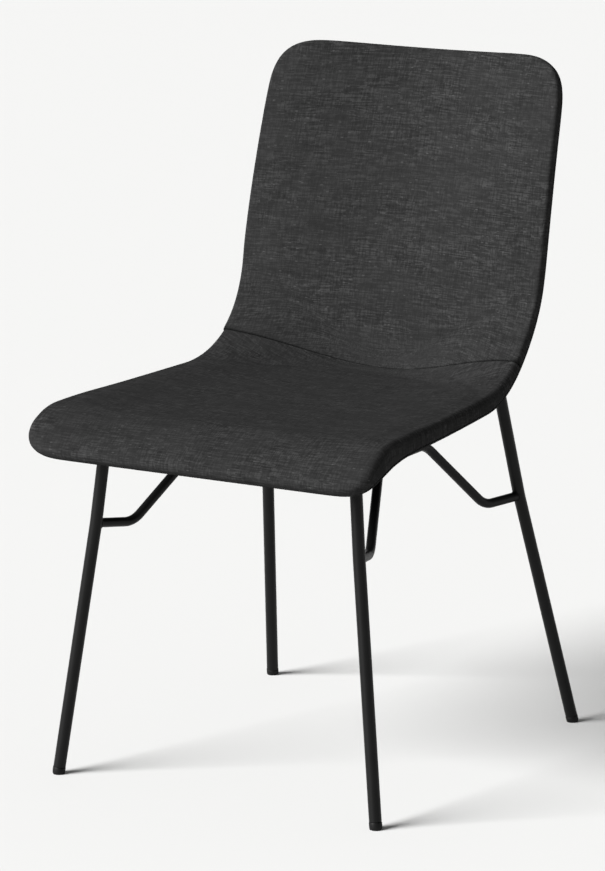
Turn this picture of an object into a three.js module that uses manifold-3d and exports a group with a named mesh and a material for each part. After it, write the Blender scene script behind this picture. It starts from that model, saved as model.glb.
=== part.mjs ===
// A dining chair: an upholstered bucket shell on a bent steel-tube frame.
// Millimetres and degrees. +Z is up, the sitter faces -Y, and X = 0 is the plane of symmetry.
import * as THREE from "three";
import { mergeVertices } from "three/addons/utils/BufferGeometryUtils.js";
import Module from "manifold-3d";

const wasm = await Module();
wasm.setup();

// ---- Fits ----
const gap = 0.3; // between pieces that touch
const slip = 0.35; // all round a shank, spigot or barrel in its hole

// ---- Shell: side profile ----
const seatHeight = 455; // top of the seat's side edge, where the nose begins
const seatFront = 18; // how far the nose's start lies behind the front feet
const seatSlope = 1; // the side edge rises this much towards the rear
const noseRadius = 90;
const noseTurn = 57.5; // how far the nose turns down
const seatDepth = 381; // from the nose's start to where seat and back lines meet
const backAngle = 78.7; // above the horizontal
const backCurve = 1915; // radius of the back's gentle backward curve
const backHeight = 853; // height that the back's straight line would reach
const edgeBendRadius = 145; // between seat and back, along the side edges
const centreBendRadius = 29; // the same, along the middle

// ---- Shell: width, dish and corners ----
const noseHalfWidth = 237.5;
const seatHalfWidth = 227;
const bendHalfWidth = 209.5;
const backHalfWidth = 211.5;
const topHalfWidth = 203.5;
const seatDish = 14.5; // depth of the middle below the side edges
const backDish = 20.5;
const topDish = 28;
const frontCorner = 63.5;
const topCorner = 83;
const cornerPower = 3.3; // 2 is a round corner, more is squarer

// ---- Shell: layers ----
const seatEdgeThickness = 21.4;
const backEdgeThickness = 17.8;
const seatCrown = 12; // extra thickness in the middle of the seat
const backCrown = 5;
const coverThickness = 1.2;
const rearCoverThickness = 1;
const waddingThickness = 3;
const plyThickness = 8;
const edgeZone = 8; // width of the rounded border
const plyInset = 5; // the plywood stops this far inside the outline
const waddingInset = 7;
const rearBand = 4.6; // rear cover's rim, from its face to the perimeter seam
const crossSeamAt = 2.48; // share of the profile: 2 is the bend's start and 3 its end

// ---- Underframe ----
const legRadius = 7.5;
const legWall = 1.5;
const footHalfSpread = 220.5;
const footRun = 513.5; // front feet to rear feet
const kneeHalfSpread = 181;
const frontKnee = [29, 312]; // y and z
const rearKnee = [434.5, 305.5];
const frontTopLean = [-0.1, 0.079]; // x and y per unit of height, above the knee
const rearTopLean = [-0.102, -0.223];
const braceRadius = 5.75;
const braceBend = 30;
const braceFoot = { halfSpread: 164, front: 85, rear: 374, height: 304 };
const braceTop = { halfSpread: 123.5, front: 181, rear: 293.5 };
const railSize = 15;
const railWall = 1.5;
const railOverhang = 9; // past the brace's centre line
const railInset = 22; // from the brace's top bends to a rail's middle
const railCapFlange = 2;
const railCapSpigot = 9;
const legPlate = { endMargin: 2.8, width: 24, thickness: 3 }; // margin past its screw heads
const footCap = { head: 9, spigot: 18, chamfer: 2 };

// ---- Fasteners ----
const boltRadius = 3;
const boltHead = { radius: 5.25, height: 3.3 };
const boltHalfSpread = 80;
const washer = { radius: 6, thickness: 1.6 };
const spacer = { radius: 12, thickness: 5.4 };
const teeNut = { barrel: 4.2, flange: 9.5, flangeThickness: 1.5, length: plyThickness - 1 };
const screw = { shank: 2, head: 4.2, headHeight: 2.6, length: 15 };
const screwOffset = legRadius * 1.3 + screw.head + 1; // the head clears the tube that meets the plate
const legPlateLength = 2 * (screwOffset + screw.head + legPlate.endMargin);

const radians = THREE.MathUtils.degToRad;
const smooth = (t) => THREE.MathUtils.smoothstep(t, 0, 1);

// ---- The shell's surface ----
// A profile is a nose arc, a seat line, a bend arc and a back arc, one unit of t each.
const seatAngle = radians(seatSlope);
const backLineAngle = radians(backAngle);
const direction = (a) => new THREE.Vector2(Math.cos(a), Math.sin(a));
const normal = (a) => new THREE.Vector2(-Math.sin(a), Math.cos(a));
const noseStart = new THREE.Vector2(seatFront, seatHeight);

function meetingPoint(seatDrop, backDrop) {
  // where the seat and back lines meet, once each is moved away from the sitter
  const corner = noseStart.clone().addScaledVector(direction(seatAngle), seatDepth);
  const onSeat = corner.clone().addScaledVector(normal(seatAngle), -seatDrop);
  const onBack = corner.clone().addScaledVector(normal(backLineAngle), -backDrop);
  const step = onBack.sub(onSeat).cross(direction(backLineAngle));
  const run = step / direction(seatAngle).cross(direction(backLineAngle));
  return onSeat.addScaledVector(direction(seatAngle), run);
}

function makeProfile(bendRadius, seatDrop, backDrop, topDrop) {
  const corner = meetingPoint(seatDrop, backDrop);
  const tangent = bendRadius * Math.tan((backLineAngle - seatAngle) / 2);
  const seatEnd = corner.clone().addScaledVector(direction(seatAngle), -tangent);
  const backStart = corner.clone().addScaledVector(direction(backLineAngle), tangent);
  const bendCentre = seatEnd.clone().addScaledVector(normal(seatAngle), bendRadius);
  const noseCentre = noseStart.clone().addScaledVector(normal(seatAngle), -noseRadius);
  const backCentre = backStart.clone().addScaledVector(normal(backLineAngle), -backCurve);
  const backLength = (backHeight - backStart.y) / Math.sin(backLineAngle);
  const bend = (backLineAngle - seatAngle) * bendRadius;
  const lengths = [radians(noseTurn) * noseRadius, seatEnd.distanceTo(noseStart), bend, backLength];
  const at = (t) => {
    if (t <= 1) {
      const angle = seatAngle + radians(noseTurn) * (1 - t);
      return { point: noseCentre.clone().addScaledVector(normal(angle), noseRadius), angle };
    }
    if (t <= 2) return { point: noseStart.clone().lerp(seatEnd, t - 1), angle: seatAngle };
    if (t <= 3) {
      const angle = THREE.MathUtils.lerp(seatAngle, backLineAngle, t - 2);
      return { point: bendCentre.clone().addScaledVector(normal(angle), -bendRadius), angle };
    }
    const angle = backLineAngle - ((t - 3) * backLength) / backCurve;
    const drop = (topDrop - backDrop) * smooth(t - 3);
    return { point: backCentre.clone().addScaledVector(normal(angle), backCurve - drop), angle };
  };
  return { at, lengths };
}

const edgeProfile = makeProfile(edgeBendRadius, 0, 0, 0);
const centreProfile = makeProfile(centreBendRadius, seatDish, backDish, topDish);
const starts = [0, 1, 2, 3].map((k) => edgeProfile.lengths.slice(0, k).reduce((a, b) => a + b, 0));
const shellLength = starts[3] + edgeProfile.lengths[3];

function shareAt(s) {
  const k = s < starts[1] ? 0 : s < starts[2] ? 1 : s < starts[3] ? 2 : 3;
  return k + (s - starts[k]) / edgeProfile.lengths[k];
}

function lengthAt(t) {
  const k = Math.min(3, Math.floor(t));
  return starts[k] + (t - k) * edgeProfile.lengths[k];
}

// A smooth curve through [place, value] knots.
function through(knots) {
  const slope = (i) => {
    const a = knots[Math.max(0, i - 1)];
    const b = knots[Math.min(knots.length - 1, i + 1)];
    return (b[1] - a[1]) / (b[0] - a[0]);
  };
  return (x) => {
    let i = 0;
    while (i < knots.length - 2 && x > knots[i + 1][0]) i += 1;
    const [[x0, y0], [x1, y1]] = [knots[i], knots[i + 1]];
    const u = THREE.MathUtils.clamp((x - x0) / (x1 - x0), 0, 1);
    const h = x1 - x0;
    const rise = u * u * (3 - 2 * u);
    return y0 + (y1 - y0) * rise + h * u * (1 - u) * ((1 - u) * slope(i) - u * slope(i + 1));
  };
}

const halfWidth = through([
  [0, noseHalfWidth],
  [lengthAt(1.5), seatHalfWidth],
  [lengthAt(2.5), bendHalfWidth],
  [lengthAt(3.1), backHalfWidth],
  [shellLength, topHalfWidth],
]);
const edgeThickness = (t) =>
  THREE.MathUtils.lerp(seatEdgeThickness, backEdgeThickness, smooth((t - 1.8) / 1.3));
const crown = through([
  [0, 0],
  [1, seatCrown * 0.7],
  [1.5, seatCrown],
  [2.5, backCrown * 1.2],
  [3.5, backCrown],
  [4, 0],
]);

// 0 along the middle, 1 along the side edges, and flattest there round the bend.
function sideShare(u, t) {
  const nearBend = Math.exp(-(((t - 2.5) / 0.7) ** 2));
  const flatness = THREE.MathUtils.lerp(0.68, 0.89, nearBend);
  return flatness * Math.sin((Math.PI * u) / 2) ** 2 + (1 - flatness) * u * u;
}

function thicknessAt(x, s) {
  const t = shareAt(s);
  const u = Math.min(1, Math.abs(x) / halfWidth(s));
  return edgeThickness(t) + crown(t) * (1 - smooth((u - 0.4) / 0.55));
}

// The point under flat-pattern place (x, s), at a depth below the sitter's side.
function surfacePoint(x, s, depth) {
  const t = shareAt(s);
  const share = sideShare(Math.min(1, Math.abs(x) / halfWidth(s)), t);
  const centre = centreProfile.at(t);
  const edge = edgeProfile.at(t);
  const angle = THREE.MathUtils.lerp(centre.angle, edge.angle, share);
  const p = centre.point.lerp(edge.point, share).addScaledVector(normal(angle), -depth);
  return new THREE.Vector3(x, p.x, p.y);
}

// ---- Curved layers ----
const columns = 10;
const cornerRows = 4;
const seamLength = lengthAt(crossSeamAt);

function spread(from, to, count) {
  return Array.from({ length: count }, (_, i) => from + ((to - from) * (i + 1)) / (count + 1));
}

// Rows of the flat pattern from the nose to the top: corner rows curve in, the others are straight.
function patternRows(from, to) {
  const corner = (end, i) => ({ end, a: (Math.PI / 2) * (1 - i / cornerRows) });
  const front = Array.from({ length: cornerRows }, (_, i) => corner("front", i));
  const top = Array.from({ length: cornerRows }, (_, i) => corner("top", i)).reverse();
  const middle = [
    frontCorner,
    ...spread(frontCorner, starts[1] + 30, 1),
    starts[1] + 30,
    ...spread(starts[1] + 30, starts[2], 2),
    starts[2],
    ...spread(starts[2], seamLength, 2),
    seamLength,
    ...spread(seamLength, starts[3], 2),
    starts[3],
    ...spread(starts[3], shellLength - topCorner, 2),
    shellLength - topCorner,
  ].map((s) => ({ s }));
  const rows = [...front, ...middle, ...top];
  const seam = rows.findIndex((row) => row.s === seamLength);
  return rows.slice(from === "seam" ? seam : 0, to === "seam" ? seam + 1 : rows.length);
}

// The flat-pattern place of a column in a row, on an outline moved in by inset.
function patternPlace(row, u, inset) {
  if (row.s !== undefined) return [u * (halfWidth(row.s) - inset), row.s];
  const reach = (row.end === "front" ? frontCorner : topCorner) - inset;
  const along = inset + reach * (1 - Math.sin(row.a) ** (2 / cornerPower));
  const s = row.end === "front" ? along : shellLength - along;
  const across = halfWidth(s) - inset - reach * (1 - Math.cos(row.a) ** (2 / cornerPower));
  return [u * across, s];
}

// One face of a layer: a grid inside the border, and rings [inset, depth] that carry it round the edge.
function makeSkin(span, gridDepth, rings, seamShift) {
  const rows = patternRows(span[0], span[1]).map((row) =>
    row.s === seamLength && span.includes("seam") ? { s: seamLength + seamShift } : row,
  );
  const points = [];
  const triangles = [];
  const add = (row, u, inset, depth) => {
    const [x, s] = patternPlace(row, u, inset);
    points.push(surfacePoint(x, s, depth(x, s)));
    return points.length - 1;
  };
  const uAt = (j) => (2 * j) / columns - 1;
  const columnList = Array.from({ length: columns + 1 }, (_, j) => j);
  const grid = rows.map((row) => columnList.map((j) => add(row, uAt(j), edgeZone, gridDepth)));
  for (let i = 0; i < rows.length - 1; i += 1) {
    for (let j = 0; j < columns; j += 1) {
      const [a, b] = [grid[i][j], grid[i][j + 1]];
      const [c, d] = [grid[i + 1][j + 1], grid[i + 1][j]];
      triangles.push([a, b, c], [a, c, d]);
    }
  }
  const last = rows.length - 1;
  const rowList = rows.map((_, i) => i);
  const right = rowList.map((i) => [i, columns]);
  const left = rowList.map((i) => [i, 0]).reverse();
  const front = columnList.map((j) => [0, j]);
  const top = columnList.map((j) => [last, j]).reverse();
  let path = [...front, ...right.slice(1), ...top.slice(1), ...left.slice(1, -1)];
  if (span[1] === "seam") path = [...left, ...front.slice(1), ...right.slice(1)];
  if (span[0] === "seam") path = [...right, ...top.slice(1), ...left.slice(1)];
  const open = span.includes("seam");
  const paths = [path.map(([i, j]) => grid[i][j])];
  for (const [inset, depth] of rings) {
    const inner = paths.at(-1);
    const outer = path.map(([i, j]) => add(rows[i], uAt(j), inset, depth));
    for (let p = 0; p < path.length - (open ? 1 : 0); p += 1) {
      const q = (p + 1) % path.length;
      triangles.push([inner[q], inner[p], outer[p]], [inner[q], outer[p], outer[q]]);
    }
    paths.push(outer);
  }
  let loop = paths.at(-1);
  if (open) {
    const seamRow = span[1] === "seam" ? [...grid[last]].reverse() : grid[0];
    const ends = paths.slice(1, -1).map((ring) => ring.at(-1));
    const beginnings = paths.slice(1, -1).map((ring) => ring[0]);
    const edges = rings.length ? [...ends.reverse(), ...seamRow, ...beginnings] : seamRow.slice(1, -1);
    loop = [...loop, ...edges];
  }
  return { points, triangles, loop };
}

// The closed solid between a layer's two faces, the outer one on the sitter's side.
function solidBetween(outer, inner) {
  const shift = outer.points.length;
  const points = [...outer.points, ...inner.points];
  const triangles = [...outer.triangles];
  for (const [a, b, c] of inner.triangles) triangles.push([a + shift, c + shift, b + shift]);
  outer.loop.forEach((a, i) => {
    const next = (i + 1) % outer.loop.length;
    const b = outer.loop[next];
    const [c, d] = [inner.loop[i] + shift, inner.loop[next] + shift];
    triangles.push([b, a, c], [b, c, d]);
  });
  return new wasm.Manifold(
    new wasm.Mesh({
      numProp: 3,
      vertProperties: new Float32Array(points.flatMap((p) => p.toArray())),
      triVerts: new Uint32Array(triangles.flat()),
    }),
  );
}

const constant = (value) => () => value;
const fromRear = (value) => (x, s) => thicknessAt(x, s) - value;

// Rings of the rounded front edge, for a face that lies below the outer one by depth.
function roundedEdge(depth, end) {
  return [
    [4 + depth * 0.3, constant(1.2 + depth * 0.95)],
    [1 + depth * 0.8, constant(4 + depth * 0.6)],
    [depth, constant(8 + depth * 0.2)],
    [depth, end],
  ];
}

function frontCover(span, seamShift) {
  const end = fromRear(rearBand + gap);
  const outer = makeSkin(span, constant(0), roundedEdge(0, end), seamShift);
  const inner = makeSkin(span, constant(coverThickness), roundedEdge(coverThickness, end), seamShift);
  return solidBetween(outer, inner);
}

const rearStack = rearCoverThickness + gap + waddingThickness + gap;
const foamTop = coverThickness + gap;

function foamPad(span, seamShift) {
  const end = fromRear(rearStack);
  const bottom = fromRear(rearStack + plyThickness + gap);
  const outer = makeSkin(span, constant(foamTop), roundedEdge(foamTop, end), seamShift);
  const hug = plyInset - gap;
  const rings = [[hug, bottom], [hug, bottom], [hug, bottom], [hug, end]];
  const inner = makeSkin(span, bottom, rings, seamShift);
  return solidBetween(outer, inner);
}

function flatLayer(inset, topFromRear, bottomFromRear) {
  const whole = ["front", "top"];
  const upper = makeSkin(whole, fromRear(topFromRear), [[inset, fromRear(topFromRear)]], 0);
  const lower = makeSkin(whole, fromRear(bottomFromRear), [[inset, fromRear(bottomFromRear)]], 0);
  return solidBetween(upper, lower);
}

function rearCoverLayer() {
  const t = rearCoverThickness;
  const rim = (depth) => [
    [3 + depth * 0.4, fromRear(0.5 + depth)],
    [0.8 + depth * 0.8, fromRear(2 + depth * 0.5)],
    [depth, fromRear(rearBand)],
  ];
  const upper = makeSkin(["front", "top"], fromRear(t), rim(t), 0);
  const lower = makeSkin(["front", "top"], fromRear(0), rim(0), 0);
  return solidBetween(upper, lower);
}

// ---- Solids and meshes ----
function toSolid(geometry) {
  const bare = geometry.clone();
  bare.deleteAttribute("normal");
  bare.deleteAttribute("uv");
  const merged = mergeVertices(bare, 1e-4);
  return new wasm.Manifold(
    new wasm.Mesh({
      numProp: 3,
      vertProperties: new Float32Array(merged.attributes.position.array),
      triVerts: new Uint32Array(merged.index.array),
    }),
  );
}

function toGeometry(solid) {
  const mesh = solid.getMesh();
  const geometry = new THREE.BufferGeometry();
  geometry.setAttribute("position", new THREE.BufferAttribute(mesh.vertProperties, mesh.numProp));
  geometry.setIndex(new THREE.BufferAttribute(mesh.triVerts, 1));
  const flat = geometry.toNonIndexed();
  flat.computeVertexNormals();
  return flat;
}

function material(color, roughness, metalness) {
  return new THREE.MeshStandardMaterial({ color, roughness, metalness });
}

const finishes = {
  fabric: material("#37373a", 0.95, 0),
  foam: material("#d9d3b8", 0.9, 0),
  wadding: material("#e6e5e0", 0.95, 0),
  plywood: material("#c9a878", 0.6, 0),
  steel: material("#262628", 0.5, 0.4),
  plastic: material("#1b1b1c", 0.55, 0),
  zinc: material("#b9bcc0", 0.35, 0.9),
};

function addPiece(parent, name, geometry, finish) {
  const mesh = new THREE.Mesh(geometry, finishes[finish]);
  mesh.name = name;
  parent.add(mesh);
  return mesh;
}

const upAxis = new THREE.Vector3(0, 1, 0); // lathe and cylinder axis
const skyward = new THREE.Vector3(0, 0, 1);

// Turns and moves a piece made along its own Y axis.
function pointAlong(object, place, axis) {
  object.position.copy(place);
  object.quaternion.setFromUnitVectors(upAxis, axis.clone().normalize());
  object.updateMatrix();
  return object;
}

// A round hole's cutter, from place along axis.
function drill(place, axis, from, to, radius, sides = 12) {
  const shape = new THREE.CylinderGeometry(radius, radius, to - from, sides);
  shape.translate(0, (from + to) / 2, 0);
  const holder = pointAlong(new THREE.Object3D(), place, axis);
  return toSolid(shape.applyMatrix4(holder.matrix));
}

function lathe(profile, sides) {
  return new THREE.LatheGeometry(profile.map(([r, y]) => new THREE.Vector2(r, y)), sides);
}

function ring(outer, inner, height, sides) {
  const profile = [[inner, 0], [outer, 0], [outer, height], [inner, height], [inner, 0]];
  return lathe(profile, sides);
}

// ---- Bent tubes ----
// A path that an extrusion samples exactly at its stations.
class StationPath extends THREE.Curve {
  constructor(stations) {
    super();
    this.stations = stations;
  }

  getPoint(t) {
    const place = t * (this.stations.length - 1);
    const i = Math.min(this.stations.length - 2, Math.floor(place + 1e-9));
    return this.stations[i].clone().lerp(this.stations[i + 1], place - i);
  }

  getPointAt(u) {
    return this.getPoint(u);
  }

  getTangent(t) {
    const i = Math.round(t * (this.stations.length - 1));
    const before = this.stations[Math.max(0, i - 1)];
    const after = this.stations[Math.min(this.stations.length - 1, i + 1)];
    const here = this.stations[i];
    const into = i > 0 ? here.clone().sub(before).normalize() : new THREE.Vector3();
    const out = i < this.stations.length - 1 ? after.clone().sub(here).normalize() : new THREE.Vector3();
    return into.add(out).normalize();
  }

  getTangentAt(u) {
    return this.getTangent(u);
  }
}

// Straight runs between corners, with each inner corner rounded to a bend radius.
function bentStations(corners, radius, steps) {
  const stations = [corners[0]];
  for (let i = 1; i < corners.length - 1; i += 1) {
    const back = corners[i - 1].clone().sub(corners[i]).normalize();
    const ahead = corners[i + 1].clone().sub(corners[i]).normalize();
    const half = back.angleTo(ahead) / 2;
    const toCentre = back.clone().add(ahead).normalize().multiplyScalar(radius / Math.sin(half));
    const centre = corners[i].clone().add(toCentre);
    const first = corners[i].clone().addScaledVector(back, radius / Math.tan(half)).sub(centre);
    const axis = ahead.clone().cross(back).normalize();
    const turn = Math.PI - 2 * half;
    for (let k = 0; k <= steps; k += 1) {
      const spoke = first.clone().applyAxisAngle(axis, (turn * k) / steps);
      stations.push(centre.clone().add(spoke));
    }
  }
  stations.push(corners.at(-1));
  return stations;
}

function tube(stations, radius, bore, sides) {
  const section = new THREE.Shape().absarc(0, 0, radius, 0, 2 * Math.PI, false);
  if (bore > 0) section.holes.push(new THREE.Path().absarc(0, 0, bore, 0, 2 * Math.PI, true));
  const settings = {
    steps: stations.length - 1,
    curveSegments: sides / 2,
    extrudePath: new StationPath(stations),
    bevelEnabled: false,
  };
  return toSolid(new THREE.ExtrudeGeometry(section, settings));
}

// ---- Where the frame meets the shell ----
// The underside's point below (x, y).
function undersideAt(x, y) {
  let [low, high] = [0, shellLength];
  for (let k = 0; k < 40; k += 1) {
    const s = (low + high) / 2;
    if (surfacePoint(x, s, thicknessAt(x, s)).y < y) low = s;
    else high = s;
  }
  return surfacePoint(x, low, thicknessAt(x, low));
}

// A flat seat for a plate: a point and two axes on the underside, clear of it all over.
function underSeat(x, y, halfLength, halfWidthOfPlate) {
  const at = (dx, dy) => undersideAt(x + dx, y + dy);
  const across = at(halfLength, 0).sub(at(-halfLength, 0)).normalize();
  const along = at(0, halfWidthOfPlate).sub(at(0, -halfWidthOfPlate)).normalize();
  const up = across.clone().cross(along).normalize();
  const centre = at(0, 0);
  let lowest = 0;
  for (let i = -4; i <= 4; i += 1) {
    for (let j = -2; j <= 2; j += 1) {
      const away = at((i / 4) * halfLength, (j / 2) * halfWidthOfPlate).sub(centre).dot(up);
      lowest = Math.min(lowest, away);
    }
  }
  const face = centre.addScaledVector(up, lowest - gap - facetRise);
  return { face, across, along: up.clone().cross(across), up };
}

const facetRise = 0.6; // how far a layer's flat facets stand off its true curve

// ---- Underframe pieces ----
const corners = [
  { name: "front_left", side: -1, rear: false },
  { name: "front_right", side: 1, rear: false },
  { name: "rear_left", side: -1, rear: true },
  { name: "rear_right", side: 1, rear: true },
].map((corner) => {
  const [kneeY, kneeZ] = corner.rear ? rearKnee : frontKnee;
  const lean = corner.rear ? rearTopLean : frontTopLean;
  const foot = new THREE.Vector3(corner.side * footHalfSpread, corner.rear ? footRun : 0, 0);
  const knee = new THREE.Vector3(corner.side * kneeHalfSpread, kneeY, kneeZ);
  const upward = new THREE.Vector3(corner.side * lean[0], lean[1], 1);
  let [low, high] = [0, seatHeight];
  for (let k = 0; k < 30; k += 1) {
    const rise = (low + high) / 2;
    const p = knee.clone().addScaledVector(upward, rise);
    if (undersideAt(p.x, p.y).z > p.z) low = rise;
    else high = rise;
  }
  const meeting = knee.clone().addScaledVector(upward, low);
  const seat = underSeat(meeting.x, meeting.y, legPlateLength / 2, legPlate.width / 2);
  const lower = knee.clone().sub(foot).normalize();
  return { ...corner, foot, knee, upward: upward.normalize(), lower, meeting, seat };
});

function plateFrame(seat) {
  const matrix = new THREE.Matrix4().makeBasis(seat.across, seat.along, seat.up);
  return matrix.setPosition(seat.face);
}

function legSolid(corner, radius, bore, from) {
  const start = corner.foot.clone().addScaledVector(corner.lower, from);
  const end = corner.meeting.clone().addScaledVector(corner.upward, 3 * radius);
  return tube([start, corner.knee, end], radius, bore, 12);
}

function makeLeg(corner) {
  const full = legSolid(corner, legRadius, legRadius - legWall, footCap.head + gap);
  const size = 12 * legRadius;
  const above = new THREE.BoxGeometry(size, size, size);
  above.translate(0, 0, size / 2 - legPlate.thickness - gap);
  return full.subtract(toSolid(above.applyMatrix4(plateFrame(corner.seat))));
}

function makeLegPlate(corner) {
  const plate = new THREE.BoxGeometry(legPlateLength, legPlate.width, legPlate.thickness);
  plate.translate(0, 0, -legPlate.thickness / 2);
  let solid = toSolid(plate.applyMatrix4(plateFrame(corner.seat)));
  for (const place of plateScrewPlaces(corner)) {
    const hole = drill(place, corner.seat.up, -1, legPlate.thickness + 1, screw.shank + slip, 10);
    solid = solid.subtract(hole);
  }
  return solid;
}

// The two screws of a leg plate: points on its lower face.
function plateScrewPlaces(corner) {
  const { face, across, up } = corner.seat;
  return [-1, 1].map((k) =>
    face.clone().addScaledVector(across, k * screwOffset).addScaledVector(up, -legPlate.thickness),
  );
}

function makeFootCap(corner) {
  const bore = legRadius - legWall - slip;
  const profile = [
    [0, -footCap.chamfer],
    [legRadius - footCap.chamfer, -footCap.chamfer],
    [legRadius, footCap.chamfer],
    [legRadius, footCap.head],
    [bore, footCap.head],
    [bore, footCap.head + footCap.spigot],
    [0, footCap.head + footCap.spigot],
  ];
  const holder = pointAlong(new THREE.Object3D(), corner.foot, corner.lower);
  const cap = toSolid(lathe(profile, 14).applyMatrix4(holder.matrix));
  const size = 8 * legRadius;
  const floor = new THREE.BoxGeometry(size, size, size);
  floor.translate(corner.foot.x, corner.foot.y, -size / 2);
  return cap.subtract(toSolid(floor));
}

const railYs = [braceTop.front + railInset, braceTop.rear - railInset];
const spacerTop = Math.min(
  ...railYs.flatMap((y) =>
    [-1, 0, 1].flatMap((i) =>
      [-1, 0, 1].map((j) => {
        return undersideAt(boltHalfSpread + i * spacer.radius, y + j * spacer.radius).z;
      }),
    ),
  ),
) - gap - facetRise;
const railTop = spacerTop - spacer.thickness - gap;
const railBottom = railTop - railSize;
const braceHeight = railBottom - gap - braceRadius;

function makeBrace(side) {
  const [front, rear] = corners.filter((corner) => corner.side === side);
  const low = (y) => new THREE.Vector3(side * braceFoot.halfSpread, y, braceFoot.height);
  const high = (y) => new THREE.Vector3(side * braceTop.halfSpread, y, braceHeight);
  const path = [
    front.knee,
    low(braceFoot.front),
    high(braceTop.front),
    high(braceTop.rear),
    low(braceFoot.rear),
    rear.knee,
  ];
  let solid = tube(bentStations(path, braceBend, 4), braceRadius, 0, 10);
  for (const corner of [front, rear]) solid = solid.subtract(legSolid(corner, legRadius + gap, 0, 0));
  return solid;
}

const railHalfLength = braceTop.halfSpread + railOverhang;

function makeRail(y) {
  const box = (size, length) => new THREE.BoxGeometry(length, size, size);
  const middle = (railTop + railBottom) / 2;
  const outer = toSolid(box(railSize, 2 * railHalfLength).translate(0, y, middle));
  const bore = toSolid(box(railSize - 2 * railWall, 2 * railHalfLength + 2).translate(0, y, middle));
  let solid = outer.subtract(bore);
  for (const side of [-1, 1]) {
    const place = new THREE.Vector3(side * boltHalfSpread, y, railBottom);
    solid = solid.subtract(drill(place, skyward, -1, railSize + 1, boltRadius + slip));
  }
  return solid;
}

function railCapGeometry() {
  const spigot = railSize - 2 * railWall - 2 * slip;
  const plug = new THREE.BoxGeometry(railCapSpigot, spigot, spigot).translate(-railCapSpigot / 2, 0, 0);
  const lid = new THREE.BoxGeometry(railCapFlange, railSize, railSize);
  lid.translate(railCapFlange / 2, 0, 0);
  return toGeometry(toSolid(plug).add(toSolid(lid)));
}

// ---- Fastener geometry, each along +Y from the face its head or flange sits on ----
const boltLength = railSize + gap + spacer.thickness + gap + rearStack + teeNut.length;

function boltGeometry() {
  const under = washer.thickness + gap;
  const profile = [
    [0, -boltHead.height - under],
    [boltHead.radius * 0.6, -boltHead.height - under],
    [boltHead.radius, -boltHead.height * 0.4 - under],
    [boltHead.radius, -under],
    [boltRadius, -under],
    [boltRadius, boltLength],
    [0, boltLength],
  ];
  return lathe(profile, 12);
}

function screwGeometry() {
  const profile = [
    [0, -screw.headHeight - gap],
    [screw.head * 0.6, -screw.headHeight - gap],
    [screw.head, -screw.headHeight * 0.5 - gap],
    [screw.head, -gap],
    [screw.shank, -gap],
    [screw.shank, screw.length - 3 * screw.shank],
    [0, screw.length],
  ];
  return lathe(profile, 10);
}

// The flange is at the top, in the plywood's face towards the sitter.
function teeNutGeometry() {
  const bore = boltRadius + slip;
  const profile = [
    [bore, 0],
    [teeNut.barrel, 0],
    [teeNut.barrel, teeNut.length - teeNut.flangeThickness],
    [teeNut.flange, teeNut.length - teeNut.flangeThickness],
    [teeNut.flange, teeNut.length],
    [bore, teeNut.length],
    [bore, 0],
  ];
  return lathe(profile, 12);
}

// ---- Bolt places under the shell ----
const bolts = railYs.flatMap((y) => [-1, 1].map((side) => {
  const place = new THREE.Vector3(side * boltHalfSpread, y, railBottom);
  const under = undersideAt(place.x, place.y).z;
  return { place, plyTop: under + rearStack + plyThickness, plyBottom: under + rearStack };
}));

// ---- Assembly ----
const chair = new THREE.Group();
const upholstery = new THREE.Group();
const underframe = new THREE.Group();
const fasteners = new THREE.Group();
chair.add(upholstery, underframe, fasteners);

function cutHoles(solid, boltHole, screwHole) {
  let cut = solid;
  for (const bolt of bolts) {
    cut = cut.subtract(drill(bolt.place, skyward, 0, bolt.plyTop - railBottom + 4, boltHole));
  }
  for (const corner of corners) {
    for (const place of plateScrewPlaces(corner)) {
      cut = cut.subtract(drill(place, corner.seat.up, 0, screw.length + gap, screwHole, 10));
    }
  }
  return cut;
}

function addUpholstery() {
  const solids = {
    seat_cover: frontCover(["front", "seam"], -gap),
    back_cover: frontCover(["seam", "top"], gap),
    seat_foam: foamPad(["front", "seam"], -gap),
    back_foam: foamPad(["seam", "top"], gap),
  };
  const plate = flatLayer(plyInset, rearStack + plyThickness, rearStack);
  let plywood = cutHoles(plate, teeNut.barrel + slip, screw.shank + slip);
  for (const bolt of bolts) {
    const from = bolt.plyTop - teeNut.flangeThickness - 2 * gap - facetRise - railBottom;
    plywood = plywood.subtract(drill(bolt.place, skyward, from, from + plyThickness, teeNut.flange + slip));
  }
  const clear = teeNut.barrel + slip;
  const waddingBottom = rearCoverThickness + gap;
  const wadding = flatLayer(waddingInset, waddingBottom + waddingThickness, waddingBottom);
  const rearCover = rearCoverLayer();
  const screwHole = screw.shank + slip;
  addPiece(upholstery, "seat_cover", toGeometry(solids.seat_cover), "fabric");
  addPiece(upholstery, "back_cover", toGeometry(solids.back_cover), "fabric");
  addPiece(upholstery, "seat_foam", toGeometry(solids.seat_foam), "foam");
  addPiece(upholstery, "back_foam", toGeometry(solids.back_foam), "foam");
  addPiece(upholstery, "plywood_shell", toGeometry(plywood), "plywood");
  addPiece(upholstery, "rear_wadding", toGeometry(cutHoles(wadding, clear, screwHole)), "wadding");
  addPiece(upholstery, "rear_cover", toGeometry(cutHoles(rearCover, clear, screwHole)), "fabric");
}

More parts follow.
